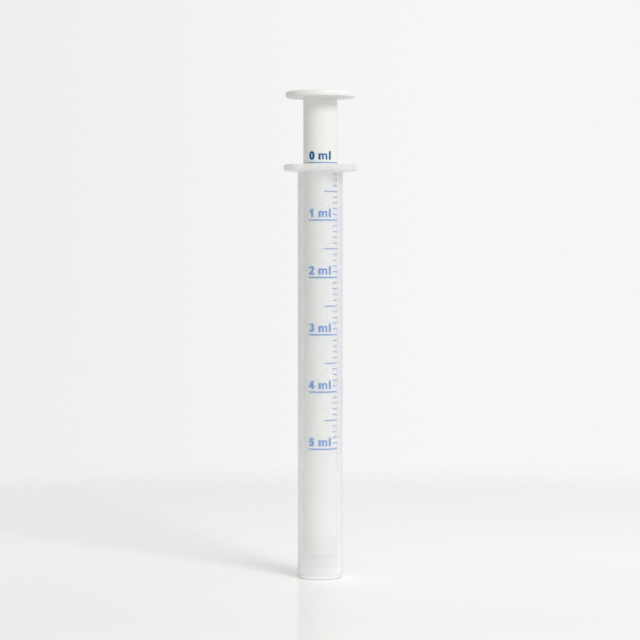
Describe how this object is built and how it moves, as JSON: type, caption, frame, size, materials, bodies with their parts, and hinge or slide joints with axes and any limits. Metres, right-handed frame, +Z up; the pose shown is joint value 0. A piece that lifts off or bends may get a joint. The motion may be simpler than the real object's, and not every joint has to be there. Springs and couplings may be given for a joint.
{
  "type": "dosing pipette with plunger",
  "caption": "Straight translucent dosing pipette with a finger flange and a white sliding plunger that carries a blue millilitre scale.",
  "frame": {"origin": "centre of the barrel's closed end, on the surface that the pipette stands on", "axes": "+Z up along the barrel towards the thumb disc, -Y is the front that the scale's labels face, +X to the right of the scale and along the flange's wings"},
  "size_m": [0.0186, 0.0174, 0.1229],
  "materials": {
    "translucent_polyethylene": "natural milky polyethylene, satin, light passes through it",
    "white_plastic": "opaque white, smooth moulded",
    "blue_ink": "printed ink film"
  },
  "bodies": {
    "barrel": {"barrel": "translucent_polyethylene"},
    "plunger": {"plunger": "white_plastic", "scale_print": "blue_ink"}
  },
  "joints": [
    {"name": "plunger_slide", "type": "slide", "parent": "barrel", "child": "plunger", "axis": [0, 0, 1], "range_m": [0, 0.07774]}
  ]
}
